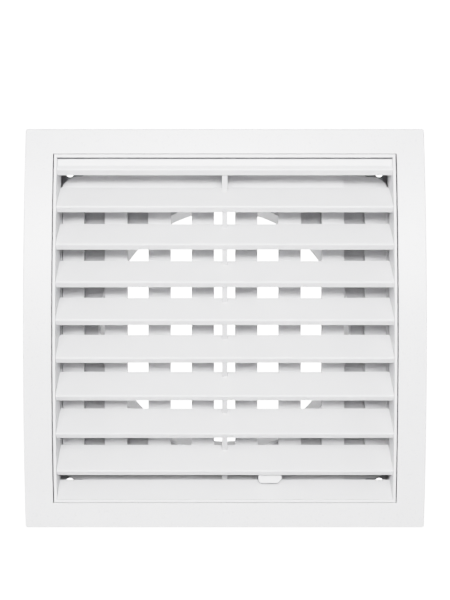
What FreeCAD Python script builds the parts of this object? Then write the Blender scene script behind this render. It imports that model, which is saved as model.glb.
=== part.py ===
import FreeCAD, Part
import math
import os

# Louvred air grille for a round duct: a wall box with a spigot, a louvre panel pushed into
# its front, and a slotted shutter that slides behind the louvres. The whole front is
# arched: it stands furthest from the wall at mid-height.
# Millimetres. X to the right, Z up, Y into the wall. The origin is the centre of the wall
# face, on the axis of the spigot, so everything in front of the wall has a negative Y.
# Depths are measured from the front of the arch at mid-height.

Vector = FreeCAD.Vector

# Driving dimensions
FRAME_SIZE = 186.0           # square frame, seen from the front
BOX_DEPTH = 24.8             # front of the arch to the wall
ARCH_RADIUS = 720.0          # arch of the front, about a level axis
DUCT_SPIGOT = 124.0          # outside diameter, for a duct of 125 mm
SPIGOT_REACH = 32.0          # spigot beyond the wall face
SCREW_SPACING = 150.0        # corner screw holes, both ways
SCREW_HOLE = 4.0
LOUVRE_PITCH = 17.5
SLOT_PITCH = 20.8            # slots of the shutter and of the grid behind it
SLOT_COUNT = 7

# Wall box
SKIN = 2.0                   # front flange and outer walls
SOCKET_WALL = 1.5            # wall round the opening that the panel sits in
PLATE = 1.8                  # back plate
SPIGOT_WALL = 1.85
SPIGOT_SHOULDER = 0.8        # step where the spigot's neck enters the back plate
ROOT_CHAMFER = 1.0           # round the plate's hole, so the wall face clears the shoulder
SPIGOT_LEAD = 0.6            # chamfer at the spigot's mouth
OPENING_HALF_WIDTH = 79.75
OPENING_HALF_HEIGHT = 81.03
FRAME_CORNER = 1.2           # rounding of the frame's corners, seen from the front
FRAME_EDGE = 0.8             # rounding of the frame's outer front edge
FINE_EDGE = 0.3              # rounding along the seam between frame and panel

# Louvre panel
PANEL_HALF_WIDTH = 79.3
PANEL_HALF_HEIGHT = 80.85
PANEL_BACK = 21.3
CHEEK = 1.3                  # side walls of the panel, beside the blades
CHEEK_SETBACK = 12.3         # from here on the side walls are thinner
CHEEK_BACK_WALL = 0.7
RAIL = 1.4                   # top and bottom walls of the panel
PIP = 0.35                   # friction pips that hold the panel in the box
PIP_DEPTH = 12.0
PIP_HEIGHT = 14.0
PIP_LEVEL = 45.0

# Louvre blade section: a sloping face with a lip that turns down and back
BLADE = 1.5                  # thickness
NOSE_SETBACK = 0.9           # behind the arch
FACE_RUN = 11.8              # nose to the top edge, in depth
FACE_RISE = 10.82
LIP_RUN = 3.0                # nose to the lip's lower edge, in depth
LIP_DROP = 2.39
LIP_THICK = 1.3
TOP_LIP = 71.4               # height of the lower edge of the uppermost lip
BLADE_COUNT = 8              # full blades between the top and the bottom one
NOSE_ROUND = 0.7
BLADE_ROUND = 0.3
ROOT_DEPTH = 7.0             # upright face above the slope of the top blade
ROOT_GROOVE = 0.35           # groove between it and the upper rail
SILL_SETBACK = 0.5           # foot of the bottom blade, behind the arch
SILL_TOP = -71.5

# Centre comb, which carries the blades at mid-span
COMB_WIDTH = 2.5
COMB_SETBACK = 10.6
COMB_BACK = 16.8
TOOTH_HEAD = 0.3             # top of a tooth's sloping front, behind and above the lip's edge
TOOTH_FOOT = 9.5             # its foot on the blade below, behind that blade's nose
TOOTH_ROOT = 3.0             # how far it reaches back into the spine

# Shutter and fixed grid, which share the outline of their side bars
SHUTTER_FRONT = 18.0
SHEET = 1.5                  # thickness of both
SHUTTER_SLOT = 9.95          # slot width
SLOT_HALF_LENGTH = 62.0
SHOULDER = 67.5              # the plates are taller between the shoulders
SIDE_HALF_HEIGHT = 72.5      # the side bars stop short of the screw holes
SIDE_CORNER = 7.0
SHOULDER_CORNER = 1.2
SHUTTER_HALF_WIDTH = 77.65
SHUTTER_HALF_HEIGHT = 77.3
GRID_FRONT = 19.8
GRID_SLOT = 10.3
GRID_HALF_WIDTH = 78.5
RIB = 0.8                    # stiffening rib along each side of a grid slot
RIB_BACK = 22.6
RIM = 0.55                   # rim along the outer side of each side bar
RIM_FRONT = 17.4
RIM_HALF_LENGTH = 61.3

# Guide channels for the shutter's upper and lower edge
GUIDE_FRONT = 16.9
GUIDE_LIP_BACK = 17.7
GUIDE_LIP = 1.2              # how far the lip reaches over the shutter
RUNNING_GAP = 0.3            # over the shutter's upper and lower edge
STOP_GAP = 0.55              # beyond the shoulders
GUIDE_STOP = 1.2             # end walls, which stop the shutter

# Finger tab
TAB_LEFT = 15.85
TAB_RIGHT = 26.6
TAB_LEFT_CUT = (0.6, 1.6)    # corners cut off the pad's lower end, as width and height
TAB_RIGHT_CUT = (1.7, 1.9)
TAB_PAD_DEPTHS = (8.6, 10.4)
TAB_PAD_LOW = -72.5
TAB_PAD_HIGH = -66.0
TAB_NECK_LOW = -71.5
TAB_NECK = 1.5
TAB_ROUND = 0.3


def depth(from_front):
    """Y of a plane that lies this far behind the front of the arch."""
    return from_front - BOX_DEPTH


def arch(height):
    """How far the arched front has gone back at this height above or below the middle."""
    return ARCH_RADIUS - math.sqrt(ARCH_RADIUS ** 2 - height ** 2)


def block(x_range, depth_range, z_range):
    """Box between two x, two depths and two heights."""
    size = [high - low for low, high in (x_range, depth_range, z_range)]
    corner = Vector(x_range[0], depth(depth_range[0]), z_range[0])
    return Part.makeBox(size[0], size[1], size[2], corner)


def arched_block(half_width, half_height, setback, back):
    """Block with a flat back, and a front that follows the arch from some way behind it."""
    x = -half_width
    edge = depth(setback + arch(half_height))
    low, high = Vector(x, edge, -half_height), Vector(x, edge, half_height)
    back_low, back_high = Vector(x, depth(back), -half_height), Vector(x, depth(back), half_height)
    outline = [Part.Arc(low, Vector(x, depth(setback), 0), high).toShape(),
               Part.makeLine(high, back_high), Part.makeLine(back_high, back_low),
               Part.makeLine(back_low, low)]
    return Part.Face(Part.Wire(outline)).extrude(Vector(2 * half_width, 0, 0))


def edges_along_depth(solid):
    """Edges of a solid that run along Y."""
    return [edge for edge in solid.Edges
            if edge.BoundBox.XLength < 1e-4 and edge.BoundBox.ZLength < 1e-4]


def arched_face(solid):
    """The face that follows the arch."""
    return max((face for face in solid.Faces if isinstance(face.Surface, Part.Cylinder)),
               key=lambda face: face.Area)


def rounded_wire(corners):
    """Closed wire through corners given as (point, radius), with tangent arcs."""
    path = []
    joints = []
    for index, (point, radius) in enumerate(corners):
        before = (corners[index - 1][0] - point).normalize()
        after = (corners[(index + 1) % len(corners)][0] - point).normalize()
        if radius == 0:
            joints.append((point, None, point))
            continue
        half_turn = before.getAngle(after) / 2
        reach = radius / math.tan(half_turn)
        summit = point + (before + after).normalize() * (radius / math.sin(half_turn) - radius)
        start, end = point + before * reach, point + after * reach
        joints.append((start, Part.Arc(start, summit, end).toShape(), end))
    for index, (_, arc, end) in enumerate(joints):
        if arc:
            path.append(arc)
        path.append(Part.makeLine(end, joints[(index + 1) % len(joints)][0]))
    return Part.Wire(path)


def plate_outline(corners, depths):
    """Plate from a rounded outline given as (x, z, radius)."""
    wire = rounded_wire([(Vector(x, depth(depths[0]), z), radius) for x, z, radius in corners])
    return Part.Face(wire).extrude(Vector(0, depths[1] - depths[0], 0))


def section_along_x(corners, half_length):
    """Bar along X from a section given as (depth, z, radius)."""
    wire = rounded_wire([(Vector(-half_length, depth(d), z), radius) for d, z, radius in corners])
    return Part.Face(wire).extrude(Vector(2 * half_length, 0, 0))


def cut_all(solid, tools):
    return solid.cut(Part.makeCompound(tools))


def cylinder_along_depth(radius, x, z, depths):
    return Part.makeCylinder(radius, depths[1] - depths[0], Vector(x, depth(depths[0]), z),
                             Vector(0, 1, 0))


# Wall box

def outer_frame():
    """Arched front flange, an outer wall that reaches the wall, and a wall round the opening."""
    half = FRAME_SIZE / 2
    body = arched_block(half, half, 0, BOX_DEPTH)
    body = body.makeFillet(FRAME_CORNER, edges_along_depth(body))
    body = body.makeFillet(FRAME_EDGE, arched_face(body).Edges)
    hollow = arched_block(half - SKIN, half - SKIN, SKIN, BOX_DEPTH)
    socket = block((-OPENING_HALF_WIDTH - SOCKET_WALL, OPENING_HALF_WIDTH + SOCKET_WALL),
                   (SKIN, BOX_DEPTH - PLATE),
                   (-OPENING_HALF_HEIGHT - SOCKET_WALL, OPENING_HALF_HEIGHT + SOCKET_WALL))
    opening = block((-OPENING_HALF_WIDTH, OPENING_HALF_WIDTH), (-1, BOX_DEPTH),
                    (-OPENING_HALF_HEIGHT, OPENING_HALF_HEIGHT))
    frame = body.cut(hollow.cut(socket)).cut(opening)
    rim = min(arched_face(frame).Wires, key=lambda wire: wire.Length)
    return frame.makeFillet(FINE_EDGE, rim.Edges)


def back_plate():
    """Plate that closes the box, with the round duct hole and a screw hole in each corner."""
    half = FRAME_SIZE / 2 - SKIN
    depths = (BOX_DEPTH - PLATE, BOX_DEPTH)
    plate = block((-half, half), depths, (-half, half))
    neck = DUCT_SPIGOT / 2 - SPIGOT_SHOULDER
    chamfer = Part.makeCone(neck, neck + ROOT_CHAMFER, ROOT_CHAMFER,
                            Vector(0, depth(BOX_DEPTH - ROOT_CHAMFER), 0), Vector(0, 1, 0))
    holes = [cylinder_along_depth(neck, 0, 0, depths), chamfer]
    offset = SCREW_SPACING / 2
    for x in (-offset, offset):
        for z in (-offset, offset):
            holes.append(cylinder_along_depth(SCREW_HOLE / 2, x, z, depths))
    return cut_all(plate, holes)


def duct_spigot():
    """Tube with a neck in the back plate, a shoulder behind it and a chamfer at its mouth."""
    radius = DUCT_SPIGOT / 2
    front, back = BOX_DEPTH - PLATE, BOX_DEPTH + SPIGOT_REACH
    tube = cylinder_along_depth(radius, 0, 0, (BOX_DEPTH, back))
    mouth = [edge for edge in tube.Edges if edge.BoundBox.YMin > SPIGOT_REACH - 0.01]
    tube = tube.makeChamfer(SPIGOT_LEAD, mouth)
    neck = cylinder_along_depth(radius - SPIGOT_SHOULDER, 0, 0, (front, BOX_DEPTH))
    bore = cylinder_along_depth(radius - SPIGOT_WALL, 0, 0, (front, back))
    return tube.fuse(neck).cut(bore)


# Louvre panel

def panel_frame():
    """Rim of the louvre panel: two cheeks and two rails, with friction pips on the cheeks."""
    body = arched_block(PANEL_HALF_WIDTH, PANEL_HALF_HEIGHT, 0, PANEL_BACK)
    body = body.makeFillet(FINE_EDGE, arched_face(body).Edges)
    half_width, half_height = PANEL_HALF_WIDTH - CHEEK, PANEL_HALF_HEIGHT - RAIL
    inside = block((-half_width, half_width), (-1, PANEL_BACK), (-half_height, half_height))
    behind = arched_block(PANEL_HALF_WIDTH - CHEEK_BACK_WALL, half_height, CHEEK_SETBACK,
                          PANEL_BACK)
    pips = []
    for x in (-PANEL_HALF_WIDTH, PANEL_HALF_WIDTH):
        for level in (-PIP_LEVEL, PIP_LEVEL):
            foot = Vector(x, depth(PIP_DEPTH), level - PIP_HEIGHT / 2)
            pips.append(Part.makeCylinder(PIP, PIP_HEIGHT, foot, Vector(0, 0, 1)))
    return body.fuse(pips).cut(inside).cut(behind)


def crossing(start_a, way_a, start_b, way_b):
    """Point where two lines in the section plane meet."""
    across = way_a[0] * way_b[1] - way_a[1] * way_b[0]
    gap = (start_b[0] - start_a[0], start_b[1] - start_a[1])
    along = (gap[0] * way_b[1] - gap[1] * way_b[0]) / across
    return start_a[0] + way_a[0] * along, start_a[1] + way_a[1] * along


def face_direction():
    """Unit direction up a blade's sloping face, as (depth, height)."""
    length = math.hypot(FACE_RUN, FACE_RISE)
    return FACE_RUN / length, FACE_RISE / length


def louvre_blade(lip_level):
    """Blade whose lip ends at this height: sloping face, rounded nose, lip down and back."""
    nose_level = lip_level + LIP_DROP
    nose = (NOSE_SETBACK + arch(nose_level), nose_level)
    top = (nose[0] + FACE_RUN, nose[1] + FACE_RISE)
    lip = (nose[0] + LIP_RUN, lip_level)
    lip_length = math.hypot(LIP_RUN, LIP_DROP)
    face_way = face_direction()
    lip_way = (LIP_RUN / lip_length, -LIP_DROP / lip_length)
    under = (face_way[1] * BLADE, -face_way[0] * BLADE)
    within = (-lip_way[1] * LIP_THICK, lip_way[0] * LIP_THICK)
    inner_corner = crossing((nose[0] + under[0], nose[1] + under[1]), face_way,
                            (nose[0] + within[0], nose[1] + within[1]), lip_way)
    top_under = (top[0], top[1] - BLADE / face_way[0])
    corners = [(*nose, NOSE_ROUND), (*lip, BLADE_ROUND),
               (lip[0] + within[0], lip[1] + within[1], BLADE_ROUND),
               (*inner_corner, BLADE_ROUND), (*top_under, 0), (*top, BLADE_ROUND)]
    return section_along_x(corners, PANEL_HALF_WIDTH - CHEEK)


def top_blade():
    """The uppermost blade: an upright face above its slope, and a groove below the rail."""
    limit = PANEL_HALF_HEIGHT - RAIL
    half_width = PANEL_HALF_WIDTH - CHEEK
    nose_level = TOP_LIP + LIP_DROP
    nose_depth = NOSE_SETBACK + arch(nose_level)
    rise = FACE_RISE / FACE_RUN
    embed = BLADE / 2
    root_top = limit - ROOT_GROOVE
    root_foot = nose_level + (ROOT_DEPTH - nose_depth) * rise - embed
    root_back = nose_depth + (root_top - nose_level + embed) / rise
    root = section_along_x([(ROOT_DEPTH, root_foot, 0), (root_back, root_top, 0),
                            (ROOT_DEPTH, root_top, 0)], half_width)
    below_rail = block((-half_width, half_width), (0, PANEL_BACK), (0, limit))
    return louvre_blade(TOP_LIP).common(below_rail).fuse(root).removeSplitter()


def bottom_blade():
    """Sill: a sloping face without a lip, which rises from the front edge of the lower rail."""
    foot_level = RAIL - PANEL_HALF_HEIGHT
    foot = (SILL_SETBACK + arch(foot_level), foot_level)
    face_way = face_direction()
    top = (foot[0] + (SILL_TOP - foot_level) * face_way[0] / face_way[1], SILL_TOP)
    top_under = (top[0], SILL_TOP - BLADE / face_way[0])
    back_foot = (foot[0] + BLADE / face_way[1], foot_level)
    corners = [(*foot, 0), (*back_foot, 0), (*top_under, 0), (*top, BLADE_ROUND)]
    return section_along_x(corners, PANEL_HALF_WIDTH - CHEEK)


def comb_tooth(lip_level):
    """Tooth whose front slopes from behind this lip down to the face of the blade below."""
    rise = FACE_RISE / FACE_RUN
    embed = BLADE / 2
    head_depth = NOSE_SETBACK + arch(lip_level + LIP_DROP) + LIP_RUN + TOOTH_HEAD
    lower_nose = lip_level + LIP_DROP - LOUVRE_PITCH
    foot_depth = NOSE_SETBACK + arch(lower_nose) + TOOTH_FOOT
    foot_level = lower_nose + TOOTH_FOOT * rise - embed
    root_depth = foot_depth + TOOTH_ROOT
    corners = [(head_depth, lip_level + LIP_DROP), (head_depth, lip_level + TOOTH_HEAD),
               (foot_depth, foot_level), (root_depth, foot_level + TOOTH_ROOT * rise),
               (root_depth, lip_level + LIP_DROP)]
    return section_along_x([(d, z, 0) for d, z in corners], COMB_WIDTH / 2)


def centre_comb(blades):
    """Upright comb at mid-span: a spine behind the blades with teeth between them."""
    limit = PANEL_HALF_HEIGHT - RAIL
    spine = arched_block(COMB_WIDTH / 2, limit, COMB_SETBACK, COMB_BACK)
    teeth = [comb_tooth(TOP_LIP - number * LOUVRE_PITCH) for number in range(BLADE_COUNT)]
    comb = cut_all(spine.fuse(teeth).removeSplitter(), blades)
    return max(comb.Solids, key=lambda solid: solid.Volume)


def slot_centre(index):
    """X of a slot, counted from 0 at the left."""
    return (index - (SLOT_COUNT - 1) / 2) * SLOT_PITCH


def slots(count, width, depths):
    half = width / 2
    return [block((slot_centre(index) - half, slot_centre(index) + half), depths,
                  (-SLOT_HALF_LENGTH, SLOT_HALF_LENGTH)) for index in range(count)]


def left_bar_outline(half_width, half_height):
    """Corners of a slotted plate's left side, from its upper shoulder down to its lower one."""
    upper = [(-SHOULDER, half_height, 0.5), (-SHOULDER, SIDE_HALF_HEIGHT, SHOULDER_CORNER),
             (-half_width, SIDE_HALF_HEIGHT, SIDE_CORNER)]
    return upper + [(x, -z, radius) for x, z, radius in reversed(upper)]


def fixed_grid():
    """Slotted plate behind the shutter, with ribs beside the slots and a rim at each side."""
    depths = (GRID_FRONT, GRID_FRONT + SHEET)
    left = left_bar_outline(GRID_HALF_WIDTH, PANEL_HALF_HEIGHT - RAIL)
    right = [(-x, z, radius) for x, z, radius in reversed(left)]
    plate = cut_all(plate_outline(left + right, depths), slots(SLOT_COUNT, GRID_SLOT, depths))
    ribs = []
    for index in range(SLOT_COUNT):
        for side in (-1, 1):
            middle = slot_centre(index) + side * (GRID_SLOT + RIB) / 2
            ribs.append(block((middle - RIB / 2, middle + RIB / 2), (GRID_FRONT, RIB_BACK),
                              (-SLOT_HALF_LENGTH, SLOT_HALF_LENGTH)))
    inner = GRID_HALF_WIDTH - RIM
    for x_range in ((-GRID_HALF_WIDTH, -inner), (inner, GRID_HALF_WIDTH)):
        ribs.append(block(x_range, (RIM_FRONT, GRID_FRONT), (-RIM_HALF_LENGTH, RIM_HALF_LENGTH)))
    return plate.fuse(ribs).removeSplitter()


def guide_rail(side):
    """Channel along the shutter's upper (1) or lower (-1) edge, closed at both ends."""
    inner_end = SHOULDER + STOP_GAP
    outer_end = inner_end + GUIDE_STOP
    edge = SHUTTER_HALF_HEIGHT + RUNNING_GAP
    lip_edge = SHUTTER_HALF_HEIGHT - GUIDE_LIP
    back = (edge, PANEL_HALF_HEIGHT - RAIL)
    over = (lip_edge, edge)
    pieces = [block((-outer_end, outer_end), (GUIDE_FRONT, GRID_FRONT), on_side(back, side)),
              block((-outer_end, outer_end), (GUIDE_FRONT, GUIDE_LIP_BACK), on_side(over, side))]
    for x_range in ((-outer_end, -inner_end), (inner_end, outer_end)):
        pieces.append(block(x_range, (GUIDE_LIP_BACK, GRID_FRONT), on_side(over, side)))
    return pieces[0].fuse(pieces[1:]).removeSplitter()


def on_side(heights, side):
    """Height range above the middle, or its mirror image below."""
    return heights if side > 0 else (-heights[1], -heights[0])


# Shutter

def shutter_plate():
    """Sliding plate with one slot fewer than the grid; half a pitch to the right closes it."""
    depths = (SHUTTER_FRONT, SHUTTER_FRONT + SHEET)
    right = slot_centre(SLOT_COUNT - 1) - GRID_SLOT / 2
    corners = left_bar_outline(SHUTTER_HALF_WIDTH, SHUTTER_HALF_HEIGHT)
    corners += [(right, -SHUTTER_HALF_HEIGHT, 0.5), (right, SHUTTER_HALF_HEIGHT, 0.5)]
    return cut_all(plate_outline(corners, depths), slots(SLOT_COUNT - 1, SHUTTER_SLOT, depths))


def shutter_tab():
    """Finger tab: a neck through the lowest gap, and a pad that shows below the last lip."""
    neck = block((TAB_LEFT, TAB_RIGHT), (TAB_PAD_DEPTHS[1], SHUTTER_FRONT),
                 (TAB_NECK_LOW, TAB_NECK_LOW + TAB_NECK))
    left_foot = TAB_LEFT + TAB_LEFT_CUT[0]
    right_foot = TAB_RIGHT - TAB_RIGHT_CUT[0]
    corners = [(TAB_LEFT, TAB_PAD_HIGH), (TAB_LEFT, TAB_PAD_LOW + TAB_LEFT_CUT[1]),
               (left_foot, TAB_PAD_LOW), (right_foot, TAB_PAD_LOW),
               (TAB_RIGHT, TAB_PAD_LOW + TAB_RIGHT_CUT[1]), (TAB_RIGHT, TAB_PAD_HIGH)]
    pad = plate_outline([(x, z, TAB_ROUND) for x, z in corners], TAB_PAD_DEPTHS)
    return neck.fuse(pad).removeSplitter()


def parts():
    """Every sub-part under its node name."""
    made = {
        "outer_frame": outer_frame(),
        "back_plate": back_plate(),
        "duct_spigot": duct_spigot(),
        "panel_frame": panel_frame(),
    }
    names = ["blade_top"] + [f"blade_{number}" for number in range(1, BLADE_COUNT + 1)]
    names.append("blade_bottom")
    blades = [top_blade()]
    blades += [louvre_blade(TOP_LIP - number * LOUVRE_PITCH) for number in range(1, BLADE_COUNT + 1)]
    blades.append(bottom_blade())
    made.update(zip(names, blades))
    made["centre_comb"] = centre_comb(blades)
    made["fixed_grid"] = fixed_grid()
    made["guide_upper"] = guide_rail(1)
    made["guide_lower"] = guide_rail(-1)
    made["shutter_plate"] = shutter_plate()
    made["shutter_tab"] = shutter_tab()
    return made


os.makedirs("parts", exist_ok=True)
for node, shape in parts().items():
    shape.exportStep(f"parts/{node}.step")
    print(node, "solids", len(shape.Solids), "valid", shape.isValid(),
          "volume", round(shape.Volume, 1))
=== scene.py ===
import math

import bpy
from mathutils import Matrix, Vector


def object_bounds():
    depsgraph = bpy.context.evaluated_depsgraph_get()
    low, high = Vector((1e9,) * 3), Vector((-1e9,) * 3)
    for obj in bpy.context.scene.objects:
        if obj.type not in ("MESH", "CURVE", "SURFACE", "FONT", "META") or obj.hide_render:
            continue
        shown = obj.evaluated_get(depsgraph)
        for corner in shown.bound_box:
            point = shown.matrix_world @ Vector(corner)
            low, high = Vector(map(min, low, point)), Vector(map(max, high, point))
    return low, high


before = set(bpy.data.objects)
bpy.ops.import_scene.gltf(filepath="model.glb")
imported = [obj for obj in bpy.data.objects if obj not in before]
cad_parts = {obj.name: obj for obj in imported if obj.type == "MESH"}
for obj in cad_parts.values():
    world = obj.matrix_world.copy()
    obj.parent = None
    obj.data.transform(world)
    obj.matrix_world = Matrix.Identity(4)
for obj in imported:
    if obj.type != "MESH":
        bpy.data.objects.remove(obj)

# A white louvred air grille, lit like a product shot: five soft lights in front of it and above
# the camera, wide lights at its left, its right and behind it, a pale surround, and a glowing
# backdrop that shows white through the open slots.
# Metres. X to the right, Y into the wall, Z up, as in the CAD model.

CAD_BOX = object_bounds()

# Camera, level and square to the wall
CAMERA_PLACE = (-0.0035, -0.4248, 0.0078)
LENS = 52.31
SHIFT = (0.01283, 0.01917)

# Square lights aimed at the middle of the grille: place, side, power in watts
LIGHTS = {
    "high": ((0, -0.85, 0.45), 0.25, 3.2),
    "key": ((0, -0.865, 0.28), 0.20, 6.8),
    "low_key": ((0, -0.865, 0.18), 0.20, 2.7),
    "key_left": ((-0.28, -0.865, 0.20), 0.18, 3.4),
    "key_right": ((0.28, -0.865, 0.20), 0.18, 3.2),
    "left": ((-1.2, -0.1, 0.1), 0.80, 11.2),
    "right": ((1.2, -0.1, 0.1), 0.80, 5.2),
    "behind": ((0, 0.95, 0.05), 0.90, 6.8),
}
LIGHTS_WITHOUT_HIGHLIGHT = {"high"}
SURROUND = 0.71

# Floor below the picture, and a wide backdrop that is brighter than white
FLOOR_LEVEL = CAD_BOX[0][2] - 0.41
FLOOR_REACH = 6.0
BACKDROP_DISTANCE = 1.0
BACKDROP_HALF_WIDTH = 3.0
BACKDROP_TOP = 2.5
BACKDROP_BRIGHTNESS = 5.1

# Tone curve of the picture: shown = (1 - exp(-light)) ** TONE_POWER, up to WHITE_LIGHT.
# Its points between black and white are given as shares of WHITE_LIGHT.
WHITE_LIGHT = 6.0
TONE_POWER = 1.75
TONE_STEPS = (0.01, 0.025, 0.05, 0.08, 0.12, 0.17, 0.23, 0.30, 0.40, 0.52, 0.68, 0.84)
COMBINED_CURVE = 3         # after those for red, green and blue

# Plastics: start of the node names, then material name, lightness and roughness.
# A node that none of them starts takes PANEL_FINISH's.
FINISHES = {
    "outer_frame": ("frame_plastic", 0.747, 0.31),
    # The back plate's lightness is set below the other plastics as painted shade: it darkens the
    # shaded plate seen in the gaps behind the blades
    "back_plate": ("plate_plastic_darkened_for_shade", 0.60, 0.55),
    "duct_spigot": ("spigot_plastic", 0.79, 0.50),
    # The comb's lightness is set below the panel's as painted shade: it darkens the comb's front,
    # which sits in shadow behind the blade lips
    "centre_comb": ("comb_plastic_darkened_for_shade", 0.70, 0.55),
    "panel": ("panel_plastic", 0.745, 0.52),
    "blade": ("blade_plastic", 0.768, 0.52),
    "shutter": ("shutter_plastic", 0.76, 0.55),
}
PANEL_FINISH = "panel"
COOL_TINT = 0.008          # how much bluer than grey the plastics are
PLASTIC_IOR = 1.49
CLOUDING = 0.985           # lightness of the darker clouds in a plastic, as a share of its own
ROUGHNESS_SPREAD = 0.04

# Surface detail of the plastics: noise waves per metre, noise detail
CLOUDS = (55, 4)
GLOSS_PATCHES = (900, 3)
GRAIN = (2600, 2)
SINK_MARKS = (30, 2)
BUMP_STRENGTH = 0.05
GRAIN_DEPTH = 0.00005
SINK_DEPTH = 0.0005

# Most of a noise texture's values lie between these two
NOISE_LOW, NOISE_HIGH = 0.35, 0.65


def principled(name, colour, roughness):
    """A new node material with its Principled shader's even values set."""
    material = bpy.data.materials.new(name)
    material.use_nodes = True
    shader = material.node_tree.nodes["Principled BSDF"]
    shader.inputs["Base Color"].default_value = (*colour, 1)
    shader.inputs["Roughness"].default_value = roughness
    return material, material.node_tree, shader


def noise(tree, scale, detail):
    """Noise in object coordinates; scale is in waves per metre."""
    place = tree.nodes.new("ShaderNodeTexCoord")
    texture = tree.nodes.new("ShaderNodeTexNoise")
    texture.inputs["Scale"].default_value = scale
    texture.inputs["Detail"].default_value = detail
    tree.links.new(place.outputs["Object"], texture.inputs["Vector"])
    return texture.outputs["Fac"]


def ramp(tree, value, low, high):
    """Colour that goes from low to high over the middle of a noise value."""
    node = tree.nodes.new("ShaderNodeValToRGB")
    node.color_ramp.elements[0].position = NOISE_LOW
    node.color_ramp.elements[0].color = (*low, 1)
    node.color_ramp.elements[1].position = NOISE_HIGH
    node.color_ramp.elements[1].color = (*high, 1)
    tree.links.new(value, node.inputs["Fac"])
    return node.outputs["Color"]


def remap(tree, value, low, high):
    """Number that goes from low to high over the middle of a noise value."""
    node = tree.nodes.new("ShaderNodeMapRange")
    node.inputs["From Min"].default_value = NOISE_LOW
    node.inputs["From Max"].default_value = NOISE_HIGH
    node.inputs["To Min"].default_value = low
    node.inputs["To Max"].default_value = high
    tree.links.new(value, node.inputs["Value"])
    return node.outputs["Result"]


def bump(tree, shader, layers):
    """Stacks bump layers, given as (height, distance), on the shader's normal."""
    normal = None
    for height, distance in layers:
        node = tree.nodes.new("ShaderNodeBump")
        node.inputs["Strength"].default_value = BUMP_STRENGTH
        node.inputs["Distance"].default_value = distance
        tree.links.new(height, node.inputs["Height"])
        if normal:
            tree.links.new(normal, node.inputs["Normal"])
        normal = node.outputs["Normal"]
    tree.links.new(normal, shader.inputs["Normal"])


def moulded_plastic(name, lightness, roughness):
    """White moulded plastic: faint clouding, a fine spark-eroded grain and soft sink marks."""
    colour = (lightness, lightness, lightness + COOL_TINT)
    darker = tuple(CLOUDING * channel for channel in colour)
    material, tree, shader = principled(name, colour, roughness)
    shader.inputs["IOR"].default_value = PLASTIC_IOR
    clouds = ramp(tree, noise(tree, *CLOUDS), darker, colour)
    tree.links.new(clouds, shader.inputs["Base Color"])
    gloss = remap(tree, noise(tree, *GLOSS_PATCHES),
                  roughness - ROUGHNESS_SPREAD, roughness + ROUGHNESS_SPREAD)
    tree.links.new(gloss, shader.inputs["Roughness"])
    bump(tree, shader, [(noise(tree, *GRAIN), GRAIN_DEPTH), (noise(tree, *SINK_MARKS), SINK_DEPTH)])
    return material


def floor_material():
    """Pale matte floor with a faint mottle."""
    material, tree, shader = principled("pale_floor", (0.93, 0.93, 0.93), 0.9)
    mottle = ramp(tree, noise(tree, 18, 5), (0.92, 0.92, 0.92), (0.94, 0.94, 0.94))
    tree.links.new(mottle, shader.inputs["Base Color"])
    return material


def backdrop_material():
    """Even white that glows."""
    material, _, shader = principled("backdrop", (0.9, 0.9, 0.9), 0.9)
    shader.inputs["Emission Color"].default_value = (1, 1, 1, 1)
    shader.inputs["Emission Strength"].default_value = BACKDROP_BRIGHTNESS
    return material


def finish_nodes():
    """Gives every CAD node its plastic."""
    plastics = {start: moulded_plastic(*finish) for start, finish in FINISHES.items()}
    for name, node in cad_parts.items():
        start = next((start for start in FINISHES if name.startswith(start)), PANEL_FINISH)
        for slot in node.material_slots:
            slot.material = plastics[start]


def aim(thing, target):
    """Turns a light so that it shines at the target."""
    thing.rotation_euler = (Vector(target) - thing.location).to_track_quat("-Z", "Y").to_euler()


def add_lights():
    """Soft square lights that the camera doesn't see."""
    for name, (place, side, power) in LIGHTS.items():
        light = bpy.data.lights.new(name, "AREA")
        light.size = side
        light.energy = power
        thing = bpy.data.objects.new(name, light)
        thing.location = place
        thing.visible_camera = False
        thing.visible_glossy = name not in LIGHTS_WITHOUT_HIGHLIGHT
        bpy.context.scene.collection.objects.link(thing)
        aim(thing, (0, 0, 0))


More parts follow.
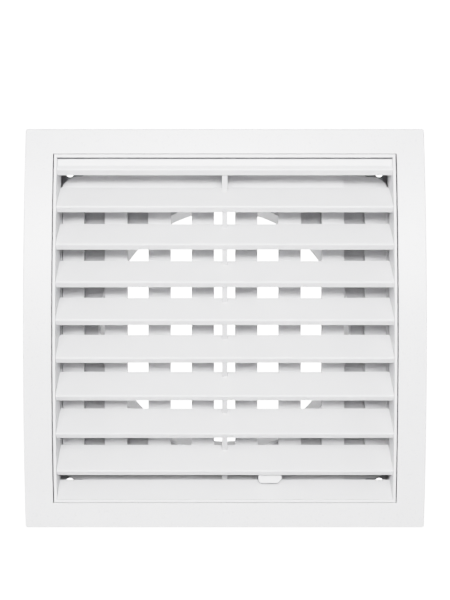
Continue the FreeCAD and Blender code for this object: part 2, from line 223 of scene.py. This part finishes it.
def add_surround():
    """Even white light from all round."""
    world = bpy.data.worlds.new("surround")
    world.use_nodes = True
    background = world.node_tree.nodes["Background"]
    background.inputs["Color"].default_value = (1, 1, 1, 1)
    background.inputs["Strength"].default_value = SURROUND
    bpy.context.scene.world = world


def add_sheet(name, corners, material):
    """One flat sheet of the set, which isn't part of the object."""
    mesh = bpy.data.meshes.new(name)
    mesh.from_pydata(corners, [], [(0, 1, 2, 3)])
    mesh.materials.append(material)
    sheet = bpy.data.objects.new(name, mesh)
    bpy.context.scene.collection.objects.link(sheet)
    return sheet


def add_set():
    """Floor, and a glowing backdrop that stands on it and lights nothing itself."""
    reach, low = FLOOR_REACH, FLOOR_LEVEL
    add_sheet("floor", [(-reach, -reach, low), (reach, -reach, low), (reach, reach, low),
                        (-reach, reach, low)], floor_material())
    half, far, high = BACKDROP_HALF_WIDTH, BACKDROP_DISTANCE, BACKDROP_TOP
    backdrop = add_sheet("backdrop", [(-half, far, low), (half, far, low), (half, far, high),
                                      (-half, far, high)], backdrop_material())
    backdrop.visible_diffuse = False
    backdrop.visible_glossy = False
    backdrop.visible_shadow = False


def add_camera():
    """Camera that looks straight into the wall."""
    camera = bpy.data.cameras.new("camera")
    camera.lens = LENS
    camera.shift_x, camera.shift_y = SHIFT
    camera.clip_start = 0.01
    thing = bpy.data.objects.new("camera", camera)
    thing.location = CAMERA_PLACE
    thing.rotation_euler = (math.radians(90), 0, 0)
    bpy.context.scene.collection.objects.link(thing)
    bpy.context.scene.camera = thing


def set_tone():
    """Rolls the highlights off softly, so that white plastic keeps its shading."""
    settings = bpy.context.scene.view_settings
    settings.view_transform = "Standard"
    settings.use_curve_mapping = True
    mapping = settings.curve_mapping
    mapping.white_level = (WHITE_LIGHT, WHITE_LIGHT, WHITE_LIGHT)
    curve = mapping.curves[COMBINED_CURVE]
    curve.points[0].location = (0, 0)
    curve.points[1].location = (1, 1)
    for step in TONE_STEPS:
        curve.points.new(step, (1 - math.exp(-WHITE_LIGHT * step)) ** TONE_POWER)
    for point in curve.points:
        point.handle_type = "AUTO_CLAMPED"
    mapping.update()


finish_nodes()
add_set()
add_surround()
add_lights()
add_camera()
set_tone()
